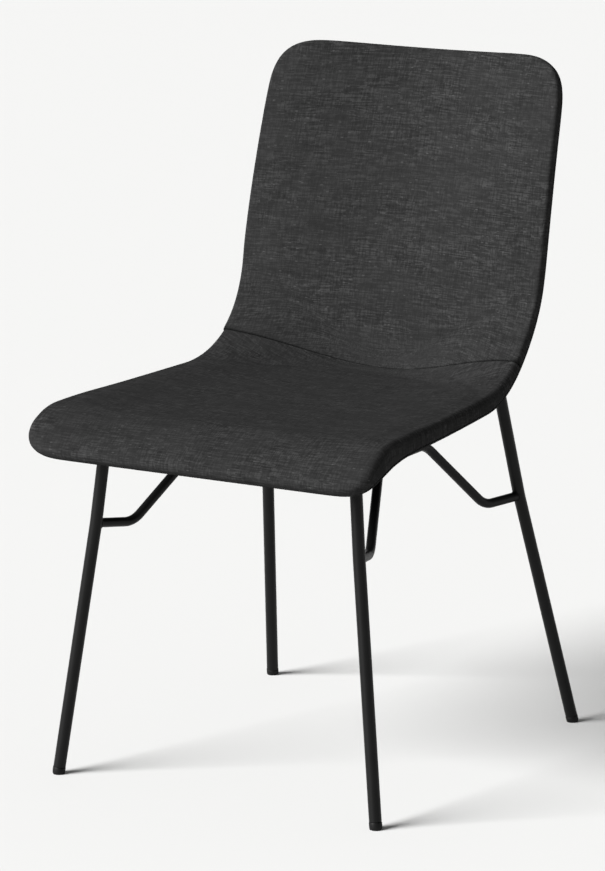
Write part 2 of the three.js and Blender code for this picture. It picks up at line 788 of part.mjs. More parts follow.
function addUnderframe() {
  for (const corner of corners) {
    addPiece(underframe, "leg_" + corner.name, toGeometry(makeLeg(corner)), "steel");
    addPiece(underframe, "leg_plate_" + corner.name, toGeometry(makeLegPlate(corner)), "steel");
    addPiece(underframe, "foot_cap_" + corner.name, toGeometry(makeFootCap(corner)), "plastic");
  }
  addPiece(underframe, "brace_left", toGeometry(makeBrace(-1)), "steel");
  addPiece(underframe, "brace_right", toGeometry(makeBrace(1)), "steel");
  railYs.forEach((y, i) => {
    const where = ["front", "rear"][i];
    addPiece(underframe, "rail_" + where, toGeometry(makeRail(y)), "steel");
    for (const side of [-1, 1]) {
      const name = `rail_cap_${where}_${side < 0 ? "left" : "right"}`;
      const cap = addPiece(underframe, name, railCapGeometry(), "plastic");
      cap.position.set(side * (railHalfLength + gap), y, (railTop + railBottom) / 2);
      cap.rotation.z = side < 0 ? Math.PI : 0;
    }
  });
}

function addFasteners() {
  bolts.forEach((bolt, i) => {
    const number = i + 1;
    const at = (z) => bolt.place.clone().setZ(z);
    const put = (name, geometry, finish, z) => {
      pointAlong(addPiece(fasteners, `${name}_${number}`, geometry, finish), at(z), skyward);
    };
    const hole = boltRadius + slip;
    const washerRing = ring(washer.radius, hole, washer.thickness, 12);
    put("seat_bolt", boltGeometry(), "zinc", railBottom - gap);
    put("seat_washer", washerRing, "zinc", railBottom - gap - washer.thickness);
    put("seat_spacer", ring(spacer.radius, hole, spacer.thickness, 16), "plastic", railTop + gap);
    put("tee_nut", teeNutGeometry(), "zinc", bolt.plyTop - gap - facetRise - teeNut.length);
  });
  for (const corner of corners) {
    plateScrewPlaces(corner).forEach((place, i) => {
      const piece = addPiece(fasteners, `plate_screw_${corner.name}_${i + 1}`, screwGeometry(), "zinc");
      pointAlong(piece, place, corner.seat.up);
    });
  }
}

addUpholstery();
addUnderframe();
addFasteners();

// The origin is on the floor, under the middle of the whole chair.
const box = new THREE.Box3().setFromObject(chair);
chair.position.y = -(box.min.y + box.max.y) / 2;

export default chair;
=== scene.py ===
import math
import bmesh
import bpy
import numpy as np
from mathutils import Matrix, Vector


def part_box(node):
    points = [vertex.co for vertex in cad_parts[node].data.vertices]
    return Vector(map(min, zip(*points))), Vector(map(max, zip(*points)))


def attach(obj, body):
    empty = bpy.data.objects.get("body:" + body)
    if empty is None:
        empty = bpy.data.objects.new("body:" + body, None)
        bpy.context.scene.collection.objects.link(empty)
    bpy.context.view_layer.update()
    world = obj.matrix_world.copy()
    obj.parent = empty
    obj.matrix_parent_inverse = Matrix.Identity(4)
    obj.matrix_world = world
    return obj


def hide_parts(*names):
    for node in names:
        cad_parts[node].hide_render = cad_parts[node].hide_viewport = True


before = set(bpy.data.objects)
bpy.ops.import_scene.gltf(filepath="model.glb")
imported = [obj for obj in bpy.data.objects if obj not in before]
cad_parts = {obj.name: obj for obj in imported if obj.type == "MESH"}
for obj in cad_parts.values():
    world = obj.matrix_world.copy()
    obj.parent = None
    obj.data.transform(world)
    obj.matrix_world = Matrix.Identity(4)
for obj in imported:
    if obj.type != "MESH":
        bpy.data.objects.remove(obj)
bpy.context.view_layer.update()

mm = 0.001
print("frame loaded")

# the rails lie this far behind the front feet, which gives the frame's own Y
railBehindFeet = 203 * mm
footLineY = (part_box("rail_front")[0].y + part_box("rail_front")[1].y) / 2 - railBehindFeet

view = dict(azimuth=30.044, pitch=12.506, distance=5071.2, aim=(0, 210.8, 404.5), lens=173.13)


def makeCamera():
    azimuth, pitch = math.radians(view["azimuth"]), math.radians(view["pitch"])
    back = Vector((
        math.sin(azimuth) * math.cos(pitch),
        -math.cos(azimuth) * math.cos(pitch),
        math.sin(pitch),
    ))
    aim = Vector(view["aim"]) * mm + Vector((0, footLineY, 0))
    data = bpy.data.cameras.new("camera")
    data.lens = view["lens"]
    data.sensor_width = 36
    data.clip_start = 0.1
    data.clip_end = 200
    camera = bpy.data.objects.new("camera", data)
    bpy.context.scene.collection.objects.link(camera)
    camera.location = aim + back * view["distance"] * mm
    camera.rotation_mode = "QUATERNION"
    camera.rotation_quaternion = (-back).to_track_quat("-Z", "Y")
    bpy.context.scene.camera = camera


makeCamera()


# small helpers

def toLinear(hexCode):
    parts = [int(hexCode[i:i + 2], 16) / 255 for i in (1, 3, 5)]
    return [c / 12.92 if c <= 0.04045 else ((c + 0.055) / 1.055) ** 2.4 for c in parts] + [1.0]


def addNode(tree, kind, inputs=None, **settings):
    made = tree.nodes.new(kind)
    for key, value in settings.items():
        setattr(made, key, value)
    for key, value in (inputs or {}).items():
        if isinstance(value, bpy.types.NodeSocket):
            tree.links.new(value, made.inputs[key])
        else:
            made.inputs[key].default_value = value
    return made


def meshObject(name, points, faces, smooth=True):
    mesh = bpy.data.meshes.new(name)
    mesh.from_pydata([tuple(p) for p in points], [], faces)
    mesh.validate()
    mesh.update()
    if smooth:
        mesh.polygons.foreach_set("use_smooth", [True] * len(mesh.polygons))
    made = bpy.data.objects.new(name, mesh)
    bpy.context.scene.collection.objects.link(made)
    return made


def faceOutwards(piece):
    work = bmesh.new()
    work.from_mesh(piece.data)
    bmesh.ops.recalc_face_normals(work, faces=work.faces)
    work.to_mesh(piece.data)
    work.free()
    piece.data.update()


def ripple(x, shortest, longest, seed, count=7):
    # a fixed irregular wave, about -1 to 1
    pick = np.random.default_rng(seed)
    lengths = np.exp(pick.uniform(math.log(shortest), math.log(longest), count))
    turns = pick.uniform(0, 2 * math.pi, count)
    total = sum(np.sin(2 * math.pi * x / w + t) for w, t in zip(lengths, turns))
    return total / math.sqrt(count / 2) / 1.6


# the shell's surface, as in the solid model (mm and degrees)

shell = dict(
    seatHeight=455, seatFront=18, seatSlope=1, noseRadius=90, noseTurn=57.5, seatDepth=381,
    backAngle=78.7, backCurve=1915, backHeight=853, edgeBend=145, centreBend=29,
    noseHalf=237.5, seatHalf=227, bendHalf=209.5, backHalf=211.5, topHalf=203.5,
    seatDish=14.5, backDish=20.5, topDish=28, frontCorner=63.5, topCorner=83, cornerPower=3.3,
    seatEdge=21.4, backEdge=17.8, seatCrown=12, backCrown=5, seamAt=2.48,
    thinFrom=1.8, thinRun=1.3, crownFlat=0.4, crownFade=0.55,
    roundShare=0.68, bendShare=0.21, bendRun=0.7,
)


def along(angle):
    return np.array([math.cos(angle), math.sin(angle)])


def across(angle):
    return np.array([-math.sin(angle), math.cos(angle)])


def smooth(t):
    t = np.clip(t, 0, 1)
    return t * t * (3 - 2 * t)


seatTilt = math.radians(shell["seatSlope"])
backTilt = math.radians(shell["backAngle"])
noseStart = np.array([shell["seatFront"], shell["seatHeight"]], float)


def makeProfile(bend, seatDrop, backDrop, topDrop):
    # one lengthwise section of the shell: nose, seat, bend and back, numbered 0 to 4 along its way
    corner = noseStart + along(seatTilt) * shell["seatDepth"]
    onSeat = corner - across(seatTilt) * seatDrop
    step = corner - across(backTilt) * backDrop - onSeat
    d, e = along(seatTilt), along(backTilt)
    corner = onSeat + d * (step[0] * e[1] - step[1] * e[0]) / (d[0] * e[1] - d[1] * e[0])
    tangent = bend * math.tan((backTilt - seatTilt) / 2)
    seatEnd, backStart = corner - d * tangent, corner + e * tangent
    bendCentre = seatEnd + across(seatTilt) * bend
    noseCentre = noseStart - across(seatTilt) * shell["noseRadius"]
    backCentre = backStart - across(backTilt) * shell["backCurve"]
    backLength = (shell["backHeight"] - backStart[1]) / math.sin(backTilt)
    turn = math.radians(shell["noseTurn"])
    lengths = [
        turn * shell["noseRadius"], np.linalg.norm(seatEnd - noseStart),
        (backTilt - seatTilt) * bend, backLength,
    ]

    def at(t):
        noseAngle = seatTilt + turn * (1 - t)
        bendAngle = seatTilt + (backTilt - seatTilt) * (t - 2)
        backAngle = backTilt - (t - 3) * backLength / shell["backCurve"]
        angle = np.select(
            [t <= 1, t <= 2, t <= 3], [noseAngle, seatTilt + 0 * t, bendAngle], backAngle)
        n = np.stack([-np.sin(angle), np.cos(angle)], -1)
        drop = ((topDrop - backDrop) * smooth(t - 3))[:, None]
        nose = noseCentre + n * shell["noseRadius"]
        seat = noseStart + (seatEnd - noseStart) * (t - 1)[:, None]
        back = backCentre + n * (shell["backCurve"] - drop)
        k = t[:, None]
        place = np.select([k <= 1, k <= 2, k <= 3], [nose, seat, bendCentre - n * bend], back)
        return place, angle

    return at, lengths


edgeProfile, edgeLengths = makeProfile(shell["edgeBend"], 0, 0, 0)
middleProfile, _ = makeProfile(
    shell["centreBend"], shell["seatDish"], shell["backDish"], shell["topDish"])
starts = np.concatenate([[0], np.cumsum(edgeLengths)])
shellLength = starts[4]


def lengthAt(t):
    return float(np.interp(t, range(5), starts))


def shareAt(s):
    return np.interp(s, starts, range(5))


def through(knots):
    # a smooth curve through the given places
    xs, ys = np.array(knots, float).T
    slopes = np.gradient(ys, xs)
    slopes[1:-1] = (ys[2:] - ys[:-2]) / (xs[2:] - xs[:-2])

    def at(x):
        i = np.clip(np.searchsorted(xs, x) - 1, 0, len(xs) - 2)
        h = xs[i + 1] - xs[i]
        u = np.clip((x - xs[i]) / h, 0, 1)
        rise = ys[i] + (ys[i + 1] - ys[i]) * u * u * (3 - 2 * u)
        return rise + h * u * (1 - u) * ((1 - u) * slopes[i] - u * slopes[i + 1])

    return at


halfWidth = through([
    (0, shell["noseHalf"]), (lengthAt(1.5), shell["seatHalf"]),
    (lengthAt(2.5), shell["bendHalf"]), (lengthAt(3.1), shell["backHalf"]),
    (shellLength, shell["topHalf"]),
])
crown = through([
    (0, 0), (1, shell["seatCrown"] * 0.7), (1.5, shell["seatCrown"]),
    (2.5, shell["backCrown"] * 1.2), (3.5, shell["backCrown"]), (4, 0),
])


def thickness(x, s):
    t = shareAt(s)
    u = np.minimum(1, np.abs(x) / halfWidth(s))
    thinner = smooth((t - shell["thinFrom"]) / shell["thinRun"])
    edge = shell["seatEdge"] + (shell["backEdge"] - shell["seatEdge"]) * thinner
    return edge + crown(t) * (1 - smooth((u - shell["crownFlat"]) / shell["crownFade"]))


def surfacePoints(x, s, depth):
    # places in metres, in the frame, under flat-pattern places x and s
    t = shareAt(s)
    u = np.minimum(1, np.abs(x) / halfWidth(s))
    bend = np.exp(-(((t - 2.5) / shell["bendRun"]) ** 2))
    swung = shell["roundShare"] + shell["bendShare"] * bend
    share = swung * np.sin(math.pi * u / 2) ** 2 + (1 - swung) * u * u
    middle, middleAngle = middleProfile(t)
    edge, edgeAngle = edgeProfile(t)
    angle = middleAngle + (edgeAngle - middleAngle) * share
    place = middle + (edge - middle) * share[:, None]
    place = place - np.stack([-np.sin(angle), np.cos(angle)], -1) * np.asarray(depth)[:, None]
    return np.stack([x * mm, place[:, 0] * mm + footLineY, place[:, 1] * mm], -1)


# padded panels

# mm; a roll is the width and depth of the rounding from the face into the side
panel = dict(
    spacing=6, columns=72, cornerRows=14,
    seamRows=(16, 12, 9, 6.8, 5, 3.6, 2.5, 1.6, 0.9, 0.4, 0.1),  # how far each lies from the seam
    seatRoll=(9, 10), backRoll=(4.8, 5.8), rollRings=8, rearSeam=5.2, plywoodEdge=4.7,
    foamBottom=12.9, skinGap=0.3, rearGrid=10, rearInner=(9.5, 0.6), rearRise=4.3,
)
# a front cover's side below its roll: inset, and share of the way down to the perimeter seam
sideRim = [(0.0, 0.35), (0.0, 0.7), (0.25, 0.9), (0.9, 1.0), (2.2, 1.06)]
# the rear cover's rim: inset from the outline, and rise from the underside
rearRim = [
    (7.5, 0.05), (5, 0.25), (3, 0.7), (1.6, 1.4), (0.7, 2.3), (0.5, 3.1), (0.9, 3.9), (2.1, 4.5),
]
# how the cloth dips at the cross seam, gathers beside it and makes one longer fold
crease = dict(
    # one of these widths sets how far painted shade spreads from the seam into its crease
    depth=4.6, width=2.6, paintedShadeWidth=1.5, lipDepth=0.6, settle=0.7, settleRun=9,
    puckerHeight=0.3, puckerRun=11, puckerWaves=(9, 34),
    foldAt=6.5, foldSlant=0.03, foldWidth=1.5, foldMiddle=75, foldHalf=55,
)
# how far the seat pad's sides stand proud: everywhere, and more towards the front
lift = dict(sides=1.9, front=2.4, at=125, run=75, fadeIn=45, fadeOut=90, rimFrom=0.55, rimWidth=0.4)
# the rear cover's reach across the hollow behind the nose
bridge = dict(depth=6.4, at=70, run=38, rimFrom=0.84, rimWidth=0.1)
# how firmly each place of a cover is held while it swells, 1 being sewn down
held = dict(rim=0.6, rimReach=22, seamFlat=1.5, seamReach=16, steps=20)
seam = lengthAt(shell["seamAt"])


def evenly(a, b):
    # places from a to b, about the panel's spacing apart
    return list(np.linspace(a, b, max(2, int(round((b - a) / panel["spacing"])) + 1)))


def panelRows(first, last):
    # rows across a panel, each as (end, corner angle, place): end 1 is the front corners, end 2
    # the top corners, and 0 the stretch between, where the place along the shell counts
    n = panel["cornerRows"]
    turn = [(math.pi / 2) * (1 - i / n) for i in range(n)]
    near = panel["seamRows"]
    low, high = shell["frontCorner"], shellLength - shell["topCorner"]
    rows = []
    if first == "front":
        rows += [(1, a, 0) for a in turn]
        end = high if last == "top" else seam - near[0]
        rows += [(0, 0, s) for s in evenly(low, end)]
    else:
        rows += [(0, 0, seam + d) for d in reversed(near)]
        rows += [(0, 0, s) for s in evenly(seam + near[0], high)[1:]]
    if last == "top":
        rows += [(2, a, 0) for a in reversed(turn)]
    else:
        rows += [(0, 0, seam - d) for d in near[1:]]
    return np.array(rows)


def flatPlace(rows, u, inset):
    # flat-pattern place of every row and column pair, on an outline moved in by inset
    end, a, s = (rows[:, k][:, None] for k in range(3))
    power = 2 / shell["cornerPower"]
    reach = np.where(end == 1, shell["frontCorner"], shell["topCorner"]) - inset
    run = inset + reach * (1 - np.sin(a) ** power)
    s = np.select([end == 1, end == 2], [run, shellLength - run], s)
    cut = np.where(end > 0, reach * (1 - np.cos(a) ** power), 0)
    width = halfWidth(s.ravel()).reshape(s.shape) - inset - cut
    return u * width, s + 0 * u


def clothRun(x, s, part):
    # how far along the warp a place lies: weft threads run level across the sitter, and
    # parallel to the cross seam where the shell bends
    low, high = starts[2], starts[3]
    flat = {"seat": np.minimum(s, low), "back": np.maximum(s, high), "rear": s}[part]
    place = surfacePoints(x, flat, 0 * x) / mm
    if part == "seat":
        arc = starts[1] - np.minimum(s, starts[1])
        run = np.where(s < starts[1], shell["seatFront"] + footLineY / mm - arc, place[:, 1])
        return run + s - flat
    return place[:, 2] + s - flat if part == "back" else place[:, 1] + place[:, 2]


def paintedShadeAt(s, part):
    # 1 where painted shade darkens the cloth in the cross seam's crease, fading away from it
    near = np.exp(-(((s - seam) / crease["paintedShadeWidth"]) ** 2))
    return 0 * s if part == "rear" else near


def buildSkin(rows, gridInset, gridDepth, rings, openEnd, part):
    # a grid over the face, then rings round its edge, each with its own inset and depth; gives
    # the points, their cloth places, the faces, the loop left open, and the painted seam shade
    u = np.linspace(-1, 1, panel["columns"] + 1)[None, :]
    rowCount, columnCount = len(rows), panel["columns"] + 1
    x, s = flatPlace(rows, u, gridInset)
    points = [surfacePoints(x.ravel(), s.ravel(), gridDepth(x.ravel(), s.ravel()))]
    flat = [np.stack([x.ravel(), clothRun(x.ravel(), s.ravel(), part)], -1)]
    paintedShades = [paintedShadeAt(s.ravel(), part)]
    grid = np.arange(rowCount * columnCount).reshape(rowCount, columnCount)
    faces = [
        (grid[i, j], grid[i, j + 1], grid[i + 1, j + 1], grid[i + 1, j])
        for i in range(rowCount - 1) for j in range(columnCount - 1)
    ]
    right = [(i, columnCount - 1) for i in range(rowCount)]
    left = [(i, 0) for i in reversed(range(rowCount))]
    front = [(0, j) for j in range(columnCount)]
    top = [(rowCount - 1, j) for j in reversed(range(columnCount))]
    path = front + right[1:] + top[1:] + left[1:-1]
    if openEnd == "last":
        path = left + front[1:] + right[1:]
    if openEnd == "first":
        path = right + top[1:] + left[1:]
    picks = tuple(np.array(path).T)
    paths = [[int(grid[p]) for p in path]]
    used, travelled, before = grid.size, 0.0, (gridInset, 0.0)
    edgeX, edgeS = x[picks], s[picks]
    edgeRun = clothRun(edgeX, edgeS, part)
    for inset, depth in rings:
        x, s = (v[picks] for v in flatPlace(rows, u, inset))
        level = depth(x, s)
        points.append(surfacePoints(x, s, level))
        travelled += math.hypot(inset - before[0], float(np.mean(level)) - before[1])
        before = (inset, float(np.mean(level)))
        fx, fs = (v[picks] for v in flatPlace(rows, u, gridInset - travelled))
        flat.append(np.stack([fx, edgeRun + fs - edgeS], -1))
        paintedShades.append(paintedShadeAt(s, part))
        ring = list(range(used, used + len(path)))
        used += len(path)
        inner = paths[-1]
        for p in range(len(path) - (1 if openEnd else 0)):
            q = (p + 1) % len(path)
            faces.append((inner[q], inner[p], ring[p], ring[q]))
        paths.append(ring)
    loop = list(paths[-1])
    if openEnd:
        row = list(grid[-1][::-1]) if openEnd == "last" else list(grid[0])
        ends = [r[-1] for r in paths[1:-1]]
        loop += ends[::-1] + [int(k) for k in row] + [r[0] for r in paths[1:-1]]
    return np.concatenate(points), np.concatenate(flat), faces, loop, np.concatenate(paintedShades)


def closeSkins(name, outer, inner):
    # an outer and an inner skin, joined along their open loops into one closed piece
    shift = len(outer[0])
    faces = list(outer[2]) + [tuple(v + shift for v in reversed(f)) for f in inner[2]]
    a, b = outer[3], [v + shift for v in inner[3]]
    for k in range(len(a)):
        n = (k + 1) % len(a)
        faces.append((a[n], a[k], b[k], b[n]))
    piece = meshObject(name, np.concatenate([outer[0], inner[0]]), faces)
    flat = np.concatenate([outer[1], inner[1]]) * mm
    place = piece.data.attributes.new("clothPlace", "FLOAT_VECTOR", "POINT")
    values = np.zeros((len(flat), 3), np.float32)
    values[:, :2] = flat
    place.data.foreach_set("vector", values.ravel())
    # painted shade in the cross seam's crease, on the outer skin only
    paintedShade = piece.data.attributes.new("paintedShade", "FLOAT", "POINT")
    paintedShade.data.foreach_set("value", np.concatenate([outer[4], inner[4] * 0]).astype(np.float32))
    faceOutwards(piece)
    return piece


def seamDip(x, s):
    # a narrow crease between two rounded lips, with gathers and one longer fold beside it
    away = np.abs(s - seam)
    lip = np.clip(1 - away / crease["width"], 0, 1)
    settle = crease["settle"] * np.exp(-away / crease["settleRun"])
    dip = crease["depth"] * (1 - np.sqrt(1 - lip * lip)) + settle
    pucker = ripple(x, *crease["puckerWaves"], 4) * crease["puckerHeight"]
    pucker = pucker * np.exp(-away / crease["puckerRun"])
    slant = crease["foldAt"] + crease["foldSlant"] * (x + 60)
    fold = np.exp(-(((seam - s) - slant) / crease["foldWidth"]) ** 2)
    fold = fold * np.exp(-(((x + crease["foldMiddle"]) / crease["foldHalf"]) ** 4)) * (s < seam)
    return dip + pucker + fold


def underside(x, s):
    # depth of the rear cover, which is pulled straight across the hollow behind the nose
    near = smooth((np.abs(x) / halfWidth(s) - bridge["rimFrom"]) / bridge["rimWidth"])
    drop = bridge["depth"] * np.exp(-(((s - bridge["at"]) / bridge["run"]) ** 2))
    return thickness(x, s) + drop * near


def edgeLift(x, s):
    # the seat pad stands a little proud along its sides, most of all towards the front
    rise = lift["sides"] + lift["front"] * np.exp(-(((s - lift["at"]) / lift["run"]) ** 2))
    rise = rise * smooth(s / lift["fadeIn"]) * smooth((seam - s) / lift["fadeOut"])
    return rise * smooth((np.abs(x) / halfWidth(s) - lift["rimFrom"]) / lift["rimWidth"])


def rollRings(roll, depth0, endDepth):
    # from the face round into the side, and down to the perimeter seam
    wide, deep = roll
    rings = []
    for k in range(1, panel["rollRings"] + 1):
        a = math.pi / 2 * k / panel["rollRings"]
        inset, drop = wide * (1 - math.sin(a)), deep * (1 - math.cos(a))
        rings.append((inset, lambda x, s, d=drop: depth0(x, s) + d))
    for inset, k in sideRim:
        rings.append((inset, lambda x, s, k=k: deep + (endDepth(x, s) - deep) * k))
    return rings


def frontPanel(name, first, last, roll, openEnd):
    # cover and foam as one padded piece, with how firmly each point of its skin is held
    rows = panelRows(first, last)

    def top(x, s):
        return seamDip(x, s) - edgeLift(x, s)

    def edge(x, s):
        return seamDip(x, s) * crease["lipDepth"] - edgeLift(x, s)

    def end(x, s):
        return underside(x, s) - panel["rearSeam"]

    def bottom(x, s):
        return thickness(x, s) - panel["foamBottom"]

    rings = rollRings(roll, edge, end)
    part = "seat" if openEnd == "last" else "back"
    outer = buildSkin(rows, roll[0], top, rings, openEnd, part)
    steps = len(rings) - 1

    def lining(k):
        # the inner skin goes down the plywood's edge in as many rings as the outer one
        def level(x, s):
            low, high = bottom(x, s), end(x, s) + panel["skinGap"]
            return low + (high - low) * k / steps

        return panel["plywoodEdge"], level

    innerRings = [lining(k) for k in range(steps + 1)]
    inner = buildSkin(rows, roll[0], bottom, innerRings, openEnd, part)
    piece = closeSkins(name, outer, inner)
    u = np.linspace(-1, 1, panel["columns"] + 1)[None, :]
    gridX, gridS = (v.ravel() for v in flatPlace(rows, u, roll[0]))
    gap = np.minimum(halfWidth(gridS) - np.abs(gridX), np.minimum(gridS, shellLength - gridS))
    rim = held["rim"] * np.clip(1 - (gap - roll[0]) / held["rimReach"], 0, 1)
    sewn = np.clip(1 - (np.abs(gridS - seam) - held["seamFlat"]) / held["seamReach"], 0, 1)
    hold = np.zeros(len(outer[0]))
    hold[:len(gridS)] = np.maximum(rim, sewn)
    edgeCount = (len(outer[0]) - len(gridS)) // len(rings)
    ringHold = np.clip((np.arange(len(rings)) - panel["rollRings"]) / 3, held["rim"], 1)
    hold[len(gridS):] = np.repeat(ringHold, edgeCount)
    return piece, (len(hold), hold)


def rearPanel():
    # rear cover and wadding as one thin padded piece
    rows = panelRows("front", "top")

    def under(rise):
        return lambda x, s: underside(x, s) - rise

    grid, roof = panel["rearGrid"], under(panel["rearRise"])
    start, step = panel["rearInner"]
    outer = buildSkin(rows, grid, under(0), [(i, under(r)) for i, r in rearRim], None, "rear")
    innerRings = [(start - k * step, roof) for k in range(len(rearRim))]
    inner = buildSkin(rows, grid, roof, innerRings, None, "rear")
    return closeSkins("rearPanel", outer, inner)


# the cap, in mm, is the most that any place may rise
swell = dict(pressure=4.0, frames=20, cap=1.9)


def swellPad(piece, outerCount, outerHold):
    # the cover swells over its foam and stays sewn down at its seams
    mesh = piece.data
    rest = np.empty(len(mesh.vertices) * 3)
    mesh.vertices.foreach_get("co", rest)
    rest = rest.reshape(-1, 3)
    firm = np.ones(len(rest))
    firm[:outerCount] = outerHold
    group = piece.vertex_groups.new(name="held")
    for k in range(1, held["steps"] + 1):
        picked = np.nonzero(np.round(firm * held["steps"]) == k)[0]
        if len(picked):
            group.add([int(v) for v in picked], k / held["steps"], "REPLACE")
    cloth = piece.modifiers.new("swell", "CLOTH")
    cloth.settings.quality = 4
    cloth.settings.use_pressure = True
    cloth.settings.uniform_pressure_force = swell["pressure"]
    cloth.settings.vertex_group_mass = "held"
    cloth.settings.effector_weights.gravity = 0
    cloth.collision_settings.use_collision = False
    for number in range(1, swell["frames"] + 1):
        bpy.context.scene.frame_set(number)
    shape = piece.evaluated_get(bpy.context.evaluated_depsgraph_get()).data
    moved = np.empty(len(rest) * 3)
    shape.vertices.foreach_get("co", moved)
    step = moved.reshape(-1, 3) - rest
    size = np.linalg.norm(step, axis=1, keepdims=True)
    cap = swell["cap"] * mm
    step = step / np.maximum(size, 1e-9) * cap * np.tanh(size / cap)
    piece.modifiers.remove(cloth)
    piece.vertex_groups.clear()
    mesh.vertices.foreach_set("co", (rest + step).ravel())
    mesh.update()
    bpy.context.scene.frame_set(1)
    print(piece.name, "swelled by up to", round(float(size.max()) / mm, 2), "mm before the cap")


# finishes

# mm for pitches and dashes; each weight is a yarn's or a cloud's share of the tone
linen = dict(
    # the near-black colour and its share mark the painted shade in the cross seam's crease
    dark="#111111", ground="#252525", light="#404040", paintedShade="#0a0a0a", paintedShadeShare=0.75,
    roughness=0.95, sheen=0.008, threadPitch=1.3, weftDash=13, warpDash=9, slubDash=3.1,
    weftWeight=0.22, warpWeight=0.15, slubWeight=0.09, patch=42, patchStretch=1.4,
    patchEdge=0.14, patchCalm=0.6, patchBusy=1.2, dyeRun=(110, 14), dyeWeight=0.16,
    shadeRun=70, shadeWeight=0.07, speckDash=3.4, speckShare=0.008, speckWeight=0.22,
    bump=0.35, bumpHeight=0.0003,
)


def startMaterial(name, **sockets):
    made = bpy.data.materials.new(name)
    made.use_nodes = True
    tree = made.node_tree
    shader = tree.nodes["Principled BSDF"]
    for key, value in sockets.items():
        shader.inputs[key.replace("_", " ")].default_value = value
    return made, tree, shader


def weighted(tree, start, *terms):
    # start plus every value times its weight
    total = start
    for value, weight in terms:
        total = addNode(tree, "ShaderNodeMath", {
            0: value, 1: weight, 2: total}, operation="MULTIPLY_ADD").outputs[0]
    return total


def linenWeave():
    # polyester linen-look upholstery, plain woven from slubby yarns of several greys: matt and
    # even from afar, with busier patches of short light and dark dashes along both thread
    # directions; the yarns are drawn about twice as coarse as real ones, so that they still show
    made, tree, shader = startMaterial("linenWeave", Roughness=linen["roughness"])
    shader.inputs["Specular IOR Level"].default_value = 0.0
    shader.inputs["Sheen Weight"].default_value = linen["sheen"]
    place = addNode(tree, "ShaderNodeAttribute", attribute_name="clothPlace").outputs["Vector"]
    axes = addNode(tree, "ShaderNodeSeparateXYZ", {0: place}).outputs
    pitch = linen["threadPitch"]

    def dashes(axis, length, width, seed):
        # every yarn is cut into dashes of its own, each with a random tone from -0.5 to 0.5
        yarn = weighted(tree, float(seed), (axes[1 - axis], 1000 / width))
        yarn = addNode(tree, "ShaderNodeMath", {0: yarn}, operation="FLOOR").outputs[0]
        slip = addNode(tree, "ShaderNodeTexWhiteNoise", {"W": yarn}, noise_dimensions="1D")
        dash = weighted(tree, 0.0, (axes[axis], 1000 / length), (slip.outputs["Value"], 9.0))
        dash = addNode(tree, "ShaderNodeMath", {0: dash}, operation="FLOOR").outputs[0]
        pair = addNode(tree, "ShaderNodeCombineXYZ", {0: dash, 1: yarn})
        tone = addNode(tree, "ShaderNodeTexWhiteNoise", {0: pair.outputs[0]}, noise_dimensions="2D")
        return weighted(tree, -0.5, (tone.outputs["Value"], 1.0))

    def clouds(alongX, alongS, shift):
        stretch = addNode(tree, "ShaderNodeMapping", {
            "Vector": place, "Location": (shift, shift * 0.7, shift),
            "Scale": (1000 / alongX, 1000 / alongS, 1)})
        noise = addNode(tree, "ShaderNodeTexNoise", {
            "Vector": stretch.outputs[0], "Scale": 1.0, "Detail": 2.0, "Roughness": 0.6})
        return weighted(tree, -0.5, (noise.outputs[0], 1.0))

    weft = dashes(0, linen["weftDash"], pitch, 3)
    warp = dashes(1, linen["warpDash"], pitch, 5)
    slub = dashes(0, linen["slubDash"], pitch, 8)
    yarns = weighted(
        tree, 0.0, (weft, linen["weftWeight"]), (warp, linen["warpWeight"]),
        (slub, linen["slubWeight"]))
    patches = clouds(linen["patch"] * linen["patchStretch"], linen["patch"], 2.6)
    busy = addNode(tree, "ShaderNodeMapRange", {
        0: patches, 1: -linen["patchEdge"], 2: linen["patchEdge"], 3: linen["patchCalm"],
        4: linen["patchBusy"]}, interpolation_type="SMOOTHSTEP").outputs[0]
    yarns = addNode(tree, "ShaderNodeMath", {0: yarns, 1: busy}, operation="MULTIPLY").outputs[0]
    speck = addNode(tree, "ShaderNodeMath", {
        0: dashes(0, linen["speckDash"], pitch, 12), 1: 0.5 - linen["speckShare"],
    }, operation="GREATER_THAN")
    # uneven dye along the weft, and broad soft shades
    dye = clouds(*linen["dyeRun"], 5.2)
    shade = clouds(linen["shadeRun"], linen["shadeRun"], 9.4)
    tone = weighted(
        tree, 0.5, (yarns, 1.0), (dye, linen["dyeWeight"]), (shade, linen["shadeWeight"]),
        (speck.outputs[0], linen["speckWeight"]))
    ramp = addNode(tree, "ShaderNodeValToRGB", {0: tone})
    stops = ramp.color_ramp.elements
    stops[0].position, stops[1].position = 0.1, 0.95
    stops[0].color, stops[1].color = toLinear(linen["dark"]), toLinear(linen["light"])
    middle = stops.new(0.5)
    middle.color = toLinear(linen["ground"])
    # painted shade: the colour turns near-black along the cross seam's crease
    paintedShade = addNode(tree, "ShaderNodeAttribute", attribute_name="paintedShade").outputs["Fac"]
    colour = addNode(tree, "ShaderNodeMix", {
        0: weighted(tree, 0.0, (paintedShade, linen["paintedShadeShare"])), 6: ramp.outputs[0],
        7: toLinear(linen["paintedShade"])}, data_type="RGBA")
    tree.links.new(colour.outputs[2], shader.inputs["Base Color"])
    bump = addNode(tree, "ShaderNodeBump", {
        "Strength": linen["bump"], "Distance": linen["bumpHeight"], "Height": tone})
    tree.links.new(bump.outputs[0], shader.inputs["Normal"])
    return made


